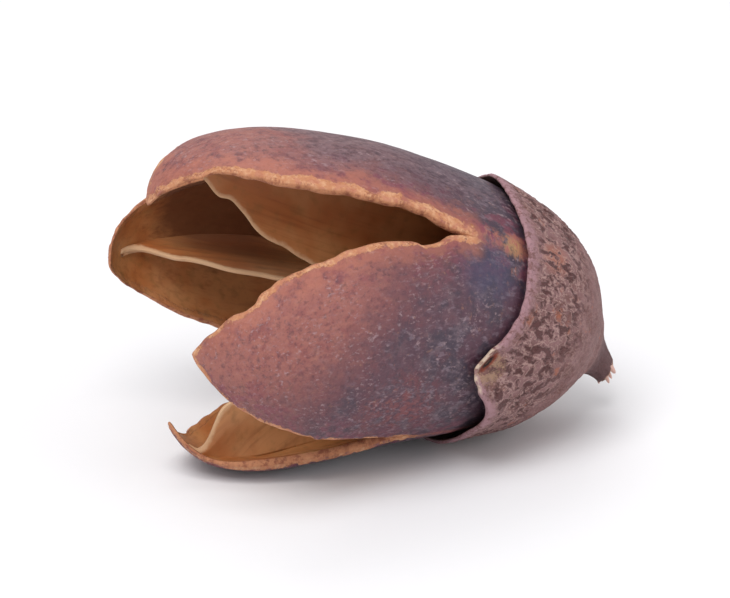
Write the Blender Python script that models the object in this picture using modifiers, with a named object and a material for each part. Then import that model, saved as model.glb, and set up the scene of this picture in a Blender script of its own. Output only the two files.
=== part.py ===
"""A dry woody seed pod that has split into four valves, lying on its side.

The capsule is one body: a wall that splits from the tip into four valves, a septum down the
middle of each valve, and the short column where the septa meet. The calyx is the other body: the
cup that still holds the capsule's base, with the stub of the stalk.

Both are shaped standing upright, with the base of the capsule at the origin and its axis along
+Z, and an empty then lays them down, mouth towards -X and stalk towards +X.
"""

import math

import bmesh
import bpy
from mathutils import Vector, noise

MM = 0.001

# Angles are in degrees. A share is of the capsule's length, from its base.

# Capsule, closed. An end is blunter the smaller its roundness, and 0.5 is an ellipse.
CAPSULE_LENGTH = 40.3 * MM
CAPSULE_RADIUS = 13.3 * MM
BASE_ROUNDNESS = 0.50
TIP_ROUNDNESS = 0.45
PROFILE_STEP = 0.004
WALL = 1.2 * MM
TIP_WALL = 0.45
THIN_FROM = 0.85
LUMP_HEIGHT = 0.30 * MM
LUMP_SIZE = 9.0 * MM
LUMPS_FROM = 0.33
LUMPS_BY = 0.52

# Valves, as they have opened and dried: where each one points round the axis, how far its tip has
# turned outwards, how far it leans sideways, how long it is as a share of the mean, how much
# flatter across it is than the closed capsule, and how many millimetres its edges draw back
VALVES = (
    {"points": 0.0, "opens": 22.0, "leans": 3.0, "length": 0.95, "flatness": 1.00, "shrinks": 1.3},
    {"points": 90.0, "opens": 23.0, "leans": -3.0, "length": 1.00, "flatness": 1.05, "shrinks": 0.7},
    {"points": 180.0, "opens": 21.0, "leans": 0.0, "length": 1.00, "flatness": 1.10, "shrinks": 0.8},
    {"points": 270.0, "opens": 21.0, "leans": 0.0, "length": 1.00, "flatness": 1.10, "shrinks": 0.7},
)
# Seams after each valve in turn: where they run, and the share from which they gape
SEAMS = (
    {"at": 45.0, "gapes_from": 0.40},
    {"at": 135.0, "gapes_from": 0.40},
    {"at": 213.0, "gapes_from": 0.40},
    {"at": 315.0, "gapes_from": 0.41},
)
EVEN_SEAM = 45.0
HINGE_AT = 0.34
GAPE_EASE = 0.18
FLAT_BY = 0.75
MARGIN_WAVE = 0.45 * MM
WAVE_SIZE = 6.0 * MM
BLUNT_TIP = 7.0 * MM
MOST_SHRINK = 0.75
AXIS_BEND = 33.0

# Septa and the column between them. The reach is that of a septum's free edge at even steps along
# it, as a share of the way from the wall to the axis.
SEPTUM = 0.9 * MM
SEPTUM_FROM = 0.035
SEPTUM_TO = 0.985
SEPTUM_REACH = (1.0, 1.0, 1.0, 0.99, 0.98, 0.95, 0.86, 0.60, 0.10)
COLUMN_LENGTH = 15.5 * MM
COLUMN_FOOT = 2.3 * MM
COLUMN_TOP = 1.2 * MM
COLUMN_SIDES = 14

# Calyx cup and stalk. The cup's rim has four worn lobes and one torn flap, which stands further up
# the front valve, and the stalk is given by its radius and height down to its broken end.
CALYX_GAP = 0.35 * MM
CALYX_WALL = 0.95 * MM
RIM_WALL = 0.60
CALYX_REACH = 0.305
CALYX_FLARE = 0.12 * MM
LOBES = 4
LOBE_HEIGHT = 0.008
LOBE_TURN = 100.0
RIM_WEAR = 0.016
WEAR_ROUND = 1.3
FLAP_AT = 261.0
FLAP_WIDTH = 13.0
FLAP_HEIGHT = 0.075
LOBES_FROM = 0.15
STALK = (
    (4.2 * MM, -0.75 * MM),
    (2.9 * MM, -1.7 * MM),
    (2.1 * MM, -2.6 * MM),
    (1.7 * MM, -3.6 * MM),
    (1.4 * MM, -4.7 * MM),
)
STALK_END = -5.3 * MM
STALK_HOOK = -1.6 * MM

# How the pod lies
MOUTH_UP = 28.7
ROLL = 3.0
FLAT_DEPTH = 0.15 * MM
SURFACE_SIZE = 100.0 * MM

# Mesh density
AROUND = 48
ALONG = 30
SEPTUM_STEPS = (20, 5)
CUP_STEPS = 10
CUP_STEPS_UNDER_STALK = 3
WELD = 0.01 * MM


def smooth(low, high, value):
    """0 below low, 1 above high, and an even ease between them."""
    share = min(max((value - low) / (high - low), 0.0), 1.0)
    return share * share * (3.0 - 2.0 * share)


def radius_at(share):
    """Outer radius of the closed capsule at this share of its length."""
    belly = BASE_ROUNDNESS / (BASE_ROUNDNESS + TIP_ROUNDNESS)
    base = (share / belly) ** BASE_ROUNDNESS
    tip = ((1.0 - share) / (1.0 - belly)) ** TIP_ROUNDNESS
    return CAPSULE_RADIUS * base * tip


def profile_point(share, outwards=0.0):
    """(radius, height) on the closed capsule's outline, moved outwards along its normal."""
    low = max(share - PROFILE_STEP, 0.0)
    high = min(share + PROFILE_STEP, 1.0)
    run = (high - low) * CAPSULE_LENGTH
    rise = radius_at(high) - radius_at(low)
    length = math.hypot(run, rise)
    radius = radius_at(share) + outwards * run / length
    height = share * CAPSULE_LENGTH - outwards * rise / length
    return max(radius, 0.0), height


def wall_at(share):
    """Thickness of the wall, which thins towards the tips of the valves."""
    return WALL * (TIP_WALL + (1.0 - TIP_WALL) * smooth(1.0, THIN_FROM, share))


def bend_axis(point):
    """Curves the pod's axis evenly towards the lower valve."""
    bend_radius = CAPSULE_LENGTH / math.radians(AXIS_BEND)
    turn = point.z / bend_radius
    reach = point.x + bend_radius
    return Vector((reach * math.cos(turn) - bend_radius, point.y, reach * math.sin(turn)))


def angle_between(angle, other):
    """angle less other, in radians, within half a turn."""
    return (angle - other + math.pi) % (2.0 * math.pi) - math.pi


def azimuth_of(point):
    return math.atan2(point.y, point.x)


def carry(valve, share, out, across, height):
    """Moves a point of the closed capsule with its valve, which has turned out on its hinge.

    out is the distance from the axis in the valve's middle plane, and across is sideways from it.
    """
    opened = max(share - HINGE_AT, 0.0) / (1.0 - HINGE_AT)
    turn = math.radians(valve["opens"]) * opened
    lean = math.radians(valve["leans"]) * opened
    hinge_out, hinge_height = profile_point(HINGE_AT)
    d_out = out - hinge_out
    d_height = height - hinge_height
    d_height *= 1.0 + (valve["length"] - 1.0) * opened
    out = hinge_out + d_out * math.cos(turn) + d_height * math.sin(turn)
    height = hinge_height - d_out * math.sin(turn) + d_height * math.cos(turn)
    across += (height - hinge_height) * math.sin(lean)
    direction = math.radians(valve["points"])
    x = out * math.cos(direction) - across * math.sin(direction)
    y = out * math.sin(direction) + across * math.cos(direction)
    return bend_axis(Vector((x, y, height)))


def margin_shrink(valve, seam, share):
    """How far the valve's edge on this seam has drawn back from it."""
    gapes = smooth(seam["gapes_from"], seam["gapes_from"] + GAPE_EASE, share)
    row = valve["points"] + seam["at"]
    wave = noise.noise(Vector((share * CAPSULE_LENGTH / WAVE_SIZE, row, 0.5)))
    return gapes * (valve["shrinks"] * MM + MARGIN_WAVE * wave)


def valve_point(valve, share, angle):
    """Point on the outside of an opened valve, at this angle from its middle line.

    The angle is that of four even valves, and is stretched or squeezed to the valve's own seam.
    """
    seam = SEAMS[VALVES.index(valve) - int(angle < 0.0)]
    span = abs(angle_between(math.radians(seam["at"]), math.radians(valve["points"])))
    angle *= span / math.radians(EVEN_SEAM)
    radius, height = profile_point(share)
    lump = Vector((radius * math.cos(angle), radius * math.sin(angle), height)) / LUMP_SIZE
    lump.x += valve["points"]
    radius += LUMP_HEIGHT * noise.noise(lump) * smooth(LUMPS_FROM, LUMPS_BY, share)
    half_width = radius * span
    if half_width > 0.0:
        shrink = margin_shrink(valve, seam, share) * smooth(0.0, BLUNT_TIP, half_width)
        angle *= 1.0 - min(shrink / half_width, MOST_SHRINK)
    flatness = 1.0 + (valve["flatness"] - 1.0) * smooth(HINGE_AT, FLAT_BY, share)
    across = radius * flatness * math.sin(angle / flatness)
    out = radius - radius * flatness * (1.0 - math.cos(angle / flatness))
    return carry(valve, share, out, across, height)


def new_object(name, mesh_data, collection):
    obj = bpy.data.objects.new(name, mesh_data)
    collection.objects.link(obj)
    return obj


def mesh_from(bm, name):
    mesh = bpy.data.meshes.new(name)
    bmesh.ops.recalc_face_normals(bm, faces=bm.faces[:])
    bm.to_mesh(mesh)
    bm.free()
    mesh.shade_smooth()
    return mesh


def apply_modifiers(obj):
    graph = bpy.context.evaluated_depsgraph_get()
    mesh = bpy.data.meshes.new_from_object(obj.evaluated_get(graph))
    obj.modifiers.clear()
    obj.data = mesh


def share_of(vert):
    """Where a vertex of the unit sphere comes along the capsule."""
    return min(max((1.0 + vert.co.z) / 2.0, 0.0), 1.0)


def valve_and_angle(vert):
    """The valve that a vertex of the ripped sphere belongs to, and its angle from the middle line."""
    beside = sum((face.calc_center_median() for face in vert.link_faces), Vector())
    azimuth = azimuth_of(beside)
    offsets = [angle_between(azimuth, math.radians(valve["points"])) for valve in VALVES]
    valve = min(zip(VALVES, offsets), key=lambda pair: abs(pair[1]))[0]
    at_pole = math.hypot(vert.co.x, vert.co.y) < 1e-6
    if not at_pole:
        azimuth = azimuth_of(vert.co)
    return valve, angle_between(azimuth, math.radians(valve["points"]))


def split_seams(bm):
    """Cuts a unit sphere along four even seams, each from where it gapes up to the tip."""
    cut = []
    for valve, seam in zip(VALVES, SEAMS):
        seam_azimuth = math.radians(valve["points"] + EVEN_SEAM)
        for edge in bm.edges:
            shares = [share_of(vert) for vert in edge.verts]
            middle = (edge.verts[0].co + edge.verts[1].co) / 2.0
            upright = abs(shares[0] - shares[1]) > 1e-4
            on_seam = abs(angle_between(azimuth_of(middle), seam_azimuth)) < 1e-3
            if upright and on_seam and min(shares) > seam["gapes_from"]:
                cut.append(edge)
    bmesh.ops.split_edges(bm, edges=cut)


def make_wall(collection):
    """The capsule's wall: a sphere ripped along its seams, drawn out to the valves and thickened."""
    bm = bmesh.new()
    bmesh.ops.create_uvsphere(bm, u_segments=AROUND, v_segments=ALONG, radius=1.0)
    split_seams(bm)
    shares = [share_of(vert) for vert in bm.verts]
    owners = [valve_and_angle(vert) for vert in bm.verts]
    for vert, share, (valve, angle) in zip(bm.verts, shares, owners):
        vert.co = valve_point(valve, share, angle)
    wall = new_object("capsule", mesh_from(bm, "capsule"), collection)
    group = wall.vertex_groups.new(name="wall")
    for index, share in enumerate(shares):
        group.add([index], wall_at(share) / WALL, "REPLACE")
    solidify = wall.modifiers.new("wall", "SOLIDIFY")
    solidify.thickness = WALL
    solidify.offset = -1.0
    solidify.vertex_group = "wall"
    apply_modifiers(wall)
    return wall


def septum_edge(share):
    """Radius, in the closed capsule, of the septum's free edge."""
    along = (share - SEPTUM_FROM) / (SEPTUM_TO - SEPTUM_FROM) * (len(SEPTUM_REACH) - 1)
    index = min(int(along), len(SEPTUM_REACH) - 2)
    part = smooth(0.0, 1.0, along - index)
    reach = SEPTUM_REACH[index] * (1.0 - part) + SEPTUM_REACH[index + 1] * part
    inner_radius = profile_point(share, -wall_at(share))[0]
    return inner_radius * (1.0 - reach)


def make_septum(valve, collection):
    """A thin upright plate along the valve's middle line, its root sunk in the wall."""
    along_steps, in_steps = SEPTUM_STEPS
    bm = bmesh.new()
    bmesh.ops.create_grid(bm, x_segments=along_steps, y_segments=in_steps, size=1.0)
    for vert in bm.verts:
        share = SEPTUM_FROM + (SEPTUM_TO - SEPTUM_FROM) * (vert.co.x + 1.0) / 2.0
        inwards = (vert.co.y + 1.0) / 2.0
        root, height = profile_point(share, -wall_at(share) / 2.0)
        out = root + (septum_edge(share) - root) * inwards
        vert.co = carry(valve, share, out, 0.0, height)
    septum = new_object("septum", mesh_from(bm, "septum"), collection)
    solidify = septum.modifiers.new("plate", "SOLIDIFY")
    solidify.thickness = SEPTUM
    solidify.offset = 0.0
    apply_modifiers(septum)
    return septum


def make_column(collection):
    """The short woody column between the septa, standing on the capsule's floor."""
    bm = bmesh.new()
    bmesh.ops.create_cone(
        bm,
        cap_ends=True,
        segments=COLUMN_SIDES,
        radius1=COLUMN_FOOT,
        radius2=COLUMN_TOP,
        depth=COLUMN_LENGTH,
    )
    for vert in bm.verts:
        height = vert.co.z + (COLUMN_LENGTH + WALL) / 2.0
        vert.co = bend_axis(Vector((vert.co.x, vert.co.y, height)))
    return new_object("column", mesh_from(bm, "column"), collection)


def make_capsule(parts, insides):
    capsule = make_wall(parts)
    for valve in VALVES:
        make_septum(valve, insides)
    make_column(insides)
    union = capsule.modifiers.new("insides", "BOOLEAN")
    union.operation = "UNION"
    union.operand_type = "COLLECTION"
    union.collection = insides
    union.solver = "EXACT"
    apply_modifiers(capsule)
    for obj in list(insides.objects):
        bpy.data.objects.remove(obj)
    return capsule


def calyx_lobe(azimuth):
    """How much further than its mean reach the cup's rim stands here, as a share of the length."""
    around = Vector((math.cos(azimuth), math.sin(azimuth), LOBES)) * WEAR_ROUND
    lobes = math.cos(LOBES * (azimuth + math.radians(LOBE_TURN)))
    from_flap = angle_between(azimuth, math.radians(FLAP_AT)) / math.radians(FLAP_WIDTH)
    flap = FLAP_HEIGHT * math.exp(-from_flap * from_flap)
    return LOBE_HEIGHT * lobes + flap + RIM_WEAR * noise.noise(around)


def make_calyx(collection):
    """Cup and stalk turned as one: inside from the axis to the rim, then back down the outside."""
    bm = bmesh.new()
    turns = [math.pi / 2.0 * step / CUP_STEPS for step in range(CUP_STEPS + 1)]
    shares = [CALYX_REACH * (1.0 - math.cos(turn)) for turn in turns]
    inside = [profile_point(share, CALYX_GAP) for share in shares]
    inside[0] = (0.0, inside[0][1])
    outside = []
    for share in reversed(shares[CUP_STEPS_UNDER_STALK:]):
        thinning = 1.0 - (1.0 - RIM_WALL) * share / CALYX_REACH
        outside.append(profile_point(share, CALYX_GAP + CALYX_WALL * thinning))
    outline = inside + outside + list(STALK) + [(0.0, STALK_END)]
    verts = [bm.verts.new((radius, 0.0, height)) for radius, height in outline]
    edges = [bm.edges.new(pair) for pair in zip(verts, verts[1:])]
    bmesh.ops.spin(
        bm,
        geom=verts + edges,
        axis=(0.0, 0.0, 1.0),
        cent=(0.0, 0.0, 0.0),
        steps=AROUND,
        angle=2.0 * math.pi,
    )
    bmesh.ops.remove_doubles(bm, verts=bm.verts[:], dist=WELD)
    rim_height = CALYX_REACH * CAPSULE_LENGTH
    for vert in bm.verts:
        azimuth = azimuth_of(vert.co)
        rise = smooth(LOBES_FROM * rim_height, rim_height, vert.co.z)
        outwards = Vector((math.cos(azimuth), math.sin(azimuth), 0.0))
        share = max(vert.co.z / CAPSULE_LENGTH, 0.0)
        lobe = rise * calyx_lobe(azimuth)
        widening = radius_at(share + lobe) - radius_at(share) + rise * rise * CALYX_FLARE
        vert.co += outwards * widening
        vert.co.z += lobe * CAPSULE_LENGTH
        stalk = min(vert.co.z / STALK_END, 1.0) if vert.co.z < 0.0 else 0.0
        vert.co.x += STALK_HOOK * stalk * stalk
        vert.co = bend_axis(vert.co)
    return new_object("calyx", mesh_from(bm, "calyx"), collection)


def make_material(name, colour, roughness):
    material = bpy.data.materials.new(name)
    material.use_nodes = True
    shader = material.node_tree.nodes["Principled BSDF"]
    shader.inputs["Base Color"].default_value = (*colour, 1.0)
    shader.inputs["Roughness"].default_value = roughness
    shader.inputs["Metallic"].default_value = 0.0
    return material


def resting_place(objects):
    """Where to put the lying pod, so that its underside rests at the middle of the row frame."""
    bpy.context.view_layer.update()
    corners = [obj.matrix_world @ vert.co for obj in objects for vert in obj.data.vertices]
    low = Vector([min(corner[axis] for corner in corners) for axis in range(3)])
    high = Vector([max(corner[axis] for corner in corners) for axis in range(3)])
    middle = (low + high) / 2.0
    return Vector((-middle.x, -middle.y, -low.z - FLAT_DEPTH))


def cut_resting_flats(objects, cutters):
    """Flattens the pod a little where it touches the surface that it lies on."""
    bm = bmesh.new()
    bmesh.ops.create_cube(bm, size=SURFACE_SIZE)
    cutter = new_object("surface", mesh_from(bm, "surface"), cutters)
    cutter.location.z = -SURFACE_SIZE / 2.0
    cutter.hide_render = True
    cutter.display_type = "WIRE"
    for obj in objects:
        cut = obj.modifiers.new("resting flat", "BOOLEAN")
        cut.operation = "DIFFERENCE"
        cut.object = cutter
        cut.solver = "EXACT"


def main():
    for obj in list(bpy.data.objects):
        bpy.data.objects.remove(obj)
    scene = bpy.context.scene.collection
    parts = bpy.data.collections.new("seed_pod")
    insides = bpy.data.collections.new("insides")
    cutters = bpy.data.collections.new("cutters")
    for collection in (parts, insides, cutters):
        scene.children.link(collection)
    capsule = make_capsule(parts, insides)
    calyx = make_calyx(parts)
    capsule.data.materials.clear()
    capsule.data.materials.append(make_material("husk", (0.20, 0.10, 0.095), 0.75))
    calyx.data.materials.append(make_material("calyx", (0.19, 0.12, 0.11), 0.85))
    lying = bpy.data.objects.new("lying_pod", None)
    parts.objects.link(lying)
    lying.rotation_mode = "XYZ"
    lying.rotation_euler = (0.0, math.radians(MOUTH_UP - 90.0), 0.0)
    for obj in (capsule, calyx):
        obj.parent = lying
        obj.rotation_euler = (0.0, 0.0, math.radians(ROLL))
    lying.location = resting_place((capsule, calyx))
    cut_resting_flats((capsule, calyx), cutters)


main()
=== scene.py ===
import math

import bpy
from mathutils import Matrix, Vector, noise


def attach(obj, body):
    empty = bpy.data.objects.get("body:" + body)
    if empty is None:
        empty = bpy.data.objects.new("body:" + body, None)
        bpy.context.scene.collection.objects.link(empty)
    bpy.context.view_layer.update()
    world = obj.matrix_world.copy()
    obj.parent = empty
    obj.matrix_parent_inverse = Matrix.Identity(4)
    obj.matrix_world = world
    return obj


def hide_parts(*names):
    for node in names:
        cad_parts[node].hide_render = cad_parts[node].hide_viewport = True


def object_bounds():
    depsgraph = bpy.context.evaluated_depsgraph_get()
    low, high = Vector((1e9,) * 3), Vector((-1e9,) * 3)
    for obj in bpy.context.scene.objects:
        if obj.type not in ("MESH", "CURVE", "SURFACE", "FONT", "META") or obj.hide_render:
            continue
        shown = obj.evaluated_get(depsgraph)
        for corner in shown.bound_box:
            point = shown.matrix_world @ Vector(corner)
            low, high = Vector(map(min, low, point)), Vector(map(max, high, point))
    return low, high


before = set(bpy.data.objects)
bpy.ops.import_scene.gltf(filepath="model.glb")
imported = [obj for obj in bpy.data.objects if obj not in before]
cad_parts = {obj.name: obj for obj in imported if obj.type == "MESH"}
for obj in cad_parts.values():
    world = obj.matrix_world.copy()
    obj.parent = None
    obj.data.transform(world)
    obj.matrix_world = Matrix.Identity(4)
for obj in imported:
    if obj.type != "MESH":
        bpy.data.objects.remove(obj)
cad_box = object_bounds()

MM = 0.001


def only(obj):
    """Makes obj the one selected and active object."""
    bpy.ops.object.select_all(action="DESELECT")
    obj.select_set(True)
    bpy.context.view_layer.objects.active = obj


# ---- Camera ---------------------------------------------------------------------------------
# A long lens looks down on the pod from in front of its slit and a little to the mouth's side,
# as in the photograph, and far enough off for its lines to stay nearly parallel.

CAMERA_AZIMUTH = math.radians(-20.0)
CAMERA_ELEVATION = math.radians(22.0)
CAMERA_DISTANCE = 600.0 * MM
VIEW_WIDTH = 67.0 * MM
AIM = Vector((-1.6, 0.0, 14.4)) * MM

camera_data = bpy.data.cameras.new("photo_view")
camera_data.sensor_width = 36.0
camera_data.lens = camera_data.sensor_width * CAMERA_DISTANCE / VIEW_WIDTH
camera_data.clip_start = 0.05
camera_data.clip_end = 20.0
camera = bpy.data.objects.new("photo_view", camera_data)
bpy.context.scene.collection.objects.link(camera)
towards_camera = Vector((
    math.sin(CAMERA_AZIMUTH) * math.cos(CAMERA_ELEVATION),
    -math.cos(CAMERA_AZIMUTH) * math.cos(CAMERA_ELEVATION),
    math.sin(CAMERA_ELEVATION),
))
camera.location = AIM + towards_camera * CAMERA_DISTANCE
camera.rotation_mode = "QUATERNION"
camera.rotation_quaternion = (-towards_camera).to_track_quat("-Z", "Y")
bpy.context.scene.camera = camera


# ---- Shader maths and finishes --------------------------------------------------------------
# Used first by the floor, and then by every material of the pod.

class Value:
    """A socket that sums can be written with. Each operator adds one Math node."""

    def __init__(self, finish, socket):
        self.finish = finish
        self.socket = socket

    def maths(self, operation, *others, clamp=False):
        inputs = dict(enumerate((self, *others)))
        settings = {"operation": operation, "use_clamp": clamp}
        return self.finish.node("ShaderNodeMath", settings, inputs)

    def __add__(self, other):
        return self.maths("ADD", other)

    __radd__ = __add__

    def __mul__(self, other):
        return self.maths("MULTIPLY", other)

    __rmul__ = __mul__

    def __sub__(self, other):
        return self.maths("SUBTRACT", other)

    def __rsub__(self, other):
        inputs = {0: other, 1: self}
        return self.finish.node("ShaderNodeMath", {"operation": "SUBTRACT"}, inputs)

    def __truediv__(self, other):
        return self.maths("DIVIDE", other)

    def __pow__(self, other):
        return self.maths("POWER", other)

    def most(self, other):
        return self.maths("MAXIMUM", other)

    def least(self, other):
        return self.maths("MINIMUM", other)

    def within(self):
        """The value held between 0 and 1."""
        return self.maths("MULTIPLY", 1.0, clamp=True)


class Finish:
    """A material, its Principled shader, and the one method that adds nodes to it."""

    def __init__(self, name, roughness=0.7):
        self.material = bpy.data.materials.new(name)
        self.material.use_nodes = True
        self.tree = self.material.node_tree
        self.shader = self.tree.nodes["Principled BSDF"]
        self.shader.inputs["Roughness"].default_value = roughness

    def node(self, kind, settings=None, inputs=None, output=0):
        made = self.tree.nodes.new(kind)
        for name, setting in (settings or {}).items():
            if name == "stops":
                ramp = made.color_ramp
                while len(ramp.elements) < len(setting):
                    ramp.elements.new(0.5)
                for element, (place, colour) in zip(ramp.elements, setting):
                    element.position = place
                    element.color = (*colour, 1.0)
            else:
                setattr(made, name, setting)
        for name, value in (inputs or {}).items():
            self.put(made.inputs[name], value)
        return Value(self, made.outputs[output])

    def put(self, socket, value):
        """Links a Value to the socket, or sets it to a number, a vector or a colour."""
        if isinstance(value, Value):
            self.tree.links.new(value.socket, socket)
        elif isinstance(value, tuple) and socket.type == "RGBA":
            socket.default_value = (*value, 1.0)
        else:
            socket.default_value = value

    def place(self):
        """Where a point is on its object."""
        return self.node("ShaderNodeTexCoord", output="Object")

    def attribute(self, name, output="Fac"):
        return self.node("ShaderNodeAttribute", {"attribute_name": name}, output=output)

    def stretched(self, vector, scale, shift=(0.0, 0.0, 0.0)):
        inputs = {"Vector": vector, "Scale": scale, "Location": shift}
        return self.node("ShaderNodeMapping", None, inputs)

    def noise(self, vector, scale, detail=4.0, roughness=0.55, distortion=0.0):
        inputs = {
            "Vector": vector,
            "Scale": scale,
            "Detail": detail,
            "Roughness": roughness,
            "Distortion": distortion,
        }
        return self.node("ShaderNodeTexNoise", None, inputs)

    def cells(self, vector, scale, feature="F1", output="Distance"):
        inputs = {"Vector": vector, "Scale": scale}
        return self.node("ShaderNodeTexVoronoi", {"feature": feature}, inputs, output)

    def ease(self, value, low, high):
        """0 below low and 1 above high, or the reverse where low is the greater."""
        if low > high:
            return 1.0 - self.ease(value, high, low)
        settings = {"interpolation_type": "SMOOTHSTEP"}
        inputs = {"Value": value, "From Min": low, "From Max": high}
        return self.node("ShaderNodeMapRange", settings, inputs)

    def mix(self, factor, first, second, blend="MIX"):
        settings = {"data_type": "RGBA", "blend_type": blend, "clamp_factor": True}
        return self.node("ShaderNodeMix", settings, {0: factor, 6: first, 7: second}, 2)

    def bump(self, height, distance, strength=1.0, normal=None):
        inputs = {"Height": height, "Distance": distance, "Strength": strength}
        if normal is not None:
            inputs["Normal"] = normal
        return self.node("ShaderNodeBump", None, inputs)

    def wear(self, **inputs):
        """Sets the shader's own sockets, such as Base_Color, and gives the material."""
        for name, value in inputs.items():
            self.put(self.shader.inputs[name.replace("_", " ")], value)
        return self.material


# ---- Floor and light ------------------------------------------------------------------------
# A plain white table top that runs out of sight, under large soft lamps and a pale sky.

FLOOR_SIZE = 6.0
FLOOR_WHITE = (0.86, 0.855, 0.875)
SKY_WHITE = (1.0, 1.0, 1.0)
SKY_STRENGTH = 0.56
LAMPS = (
    {"name": "key", "at": (-0.30, -0.32, 0.80), "size": 0.60, "watts": 5.7},
    {"name": "fill", "at": (0.55, -0.60, 0.35), "size": 0.60, "watts": 1.3},
    {"name": "back", "at": (0.10, 0.60, 0.70), "size": 0.60, "watts": 1.6},
)

bpy.ops.object.select_all(action="DESELECT")
bpy.ops.mesh.primitive_plane_add(size=FLOOR_SIZE, location=(0.0, 0.0, 0.0))
floor = bpy.context.object
floor.name = "table_top"
paper = Finish("white_paper", roughness=0.9)
grain = paper.noise(paper.place(), 900.0, detail=2.0)
paper_white = paper.mix(grain, FLOOR_WHITE, tuple(0.99 * part for part in FLOOR_WHITE))
floor.data.materials.append(paper.wear(Base_Color=paper_white))

world = bpy.data.worlds.new("pale_sky")
world.use_nodes = True
world.node_tree.nodes["Background"].inputs["Color"].default_value = (*SKY_WHITE, 1.0)
world.node_tree.nodes["Background"].inputs["Strength"].default_value = SKY_STRENGTH
bpy.context.scene.world = world
bpy.context.scene.view_settings.view_transform = "Standard"
for lamp in LAMPS:
    light = bpy.data.lights.new(lamp["name"], "AREA")
    light.size = lamp["size"]
    light.energy = lamp["watts"]
    lit = bpy.data.objects.new(lamp["name"], light)
    bpy.context.scene.collection.objects.link(lit)
    lit.location = lamp["at"]
    lit.rotation_mode = "QUATERNION"
    lit.rotation_quaternion = (AIM - lit.location).to_track_quat("-Z", "Y")


# ---- Capsule wall ---------------------------------------------------------------------------
# The woody wall of the pod grew as one closed egg and split from its tip into four valves, which
# dried and turned outwards. It has a thin purple skin, a fibrous core and a smooth lining.

# Closed egg, standing on its base, with a share counted along its length from the base
LENGTH = 40.3 * MM
RADIUS = 13.3 * MM
BASE_ROUNDNESS = 0.50
TIP_ROUNDNESS = 0.45
PROFILE_STEP = 0.004
WALL = 1.2 * MM
TIP_WALL = 0.45
THIN_FROM = 0.85
LUMP_HEIGHT = 0.30 * MM
LUMP_SIZE = 9.0 * MM
LUMPS_FROM = 0.33
LUMPS_BY = 0.52

# Opened valves: top, back, lower and front
VALVES = (
    {"points": 0.0, "opens": 22.0, "leans": 3.0, "length": 0.95, "flatness": 1.00, "shrinks": 1.3},
    {"points": 90.0, "opens": 23.0, "leans": -3.0, "length": 1.00, "flatness": 1.05, "shrinks": 0.7},
    {"points": 180.0, "opens": 21.0, "leans": 0.0, "length": 1.00, "flatness": 1.10, "shrinks": 0.8},
    {"points": 270.0, "opens": 21.0, "leans": 0.0, "length": 1.00, "flatness": 1.10, "shrinks": 0.7},
)
SEAMS = (
    {"at": 45.0, "gapes_from": 0.40},
    {"at": 135.0, "gapes_from": 0.40},
    {"at": 213.0, "gapes_from": 0.40},
    {"at": 315.0, "gapes_from": 0.41},
)
EVEN_SEAM = 45.0
HINGE_AT = 0.34
GAPE_EASE = 0.18
FLAT_BY = 0.75
MARGIN_WAVE = 0.45 * MM
WAVE_SIZE = 6.0 * MM
BLUNT_TIP = 7.0 * MM
MOST_SHRINK = 0.75
AXIS_BEND = 33.0

# How it lies
ROLL = 3.0
MOUTH_UP = 28.7
LYING_AT = Vector((18.9639, 0.1091, 7.3251)) * MM

# Mesh, and what is too fine for the solid: ragged edges and low relief
WALL_AROUND = 256
WALL_ALONG = 176
CROWDING = 0.35
RAGGED = ((0.26 * MM, 2.3 * MM), (0.15 * MM, 0.95 * MM))
NIBBLE = 0.55 * MM
NIBBLE_SIZE = 3.1 * MM
RAGGED_REACH = 7
RIM_CUTS = 4
RIM_BULGE = 0.24
RIM_SOFTENING = 2
RIM_PITS = ((0.12 * MM, 1.20 * MM), (0.05 * MM, 0.55 * MM))
SKIN_OFFSET = 0.03 * MM
SKIN_RELIEF = ((0.17 * MM, (3.4, 3.4, 7.0)), (0.07 * MM, (1.2, 1.2, 2.2)), (0.03 * MM, (0.6, 0.6, 0.8)))
LINING_RELIEF = ((0.04 * MM, (1.6, 1.6, 12.0)),)
BANDS = (0.85, 0.40, 0.50, 0.42)
BAND_UNEVEN = 0.9
BAND_DRIFT = 2.6
BAND_STEP = 0.10 * MM
BAND_LUMPS = 0.09 * MM
BAND_LUMP_SIZE = 0.70 * MM


def smooth(low, high, value):
    """0 below low, 1 above high, and an even ease between them."""
    share = min(max((value - low) / (high - low), 0.0), 1.0)
    return share * share * (3.0 - 2.0 * share)


def radius_at(share):
    belly = BASE_ROUNDNESS / (BASE_ROUNDNESS + TIP_ROUNDNESS)
    base = (share / belly) ** BASE_ROUNDNESS
    tip = ((1.0 - share) / (1.0 - belly)) ** TIP_ROUNDNESS
    return RADIUS * base * tip


def profile_point(share, outwards=0.0):
    """(radius, height) on the closed egg's outline, moved outwards along its normal."""
    low = max(share - PROFILE_STEP, 0.0)
    high = min(share + PROFILE_STEP, 1.0)
    run = (high - low) * LENGTH
    rise = radius_at(high) - radius_at(low)
    length = math.hypot(run, rise)
    radius = radius_at(share) + outwards * run / length
    height = share * LENGTH - outwards * rise / length
    return max(radius, 0.0), height


def wall_at(share):
    return WALL * (TIP_WALL + (1.0 - TIP_WALL) * smooth(1.0, THIN_FROM, share))


def bend_axis(point):
    """Curves the pod's axis evenly towards the lower valve."""
    bend_radius = LENGTH / math.radians(AXIS_BEND)
    turn = point.z / bend_radius
    reach = point.x + bend_radius
    return Vector((reach * math.cos(turn) - bend_radius, point.y, reach * math.sin(turn)))


def angle_between(angle, other):
    return (angle - other + math.pi) % (2.0 * math.pi) - math.pi


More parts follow.
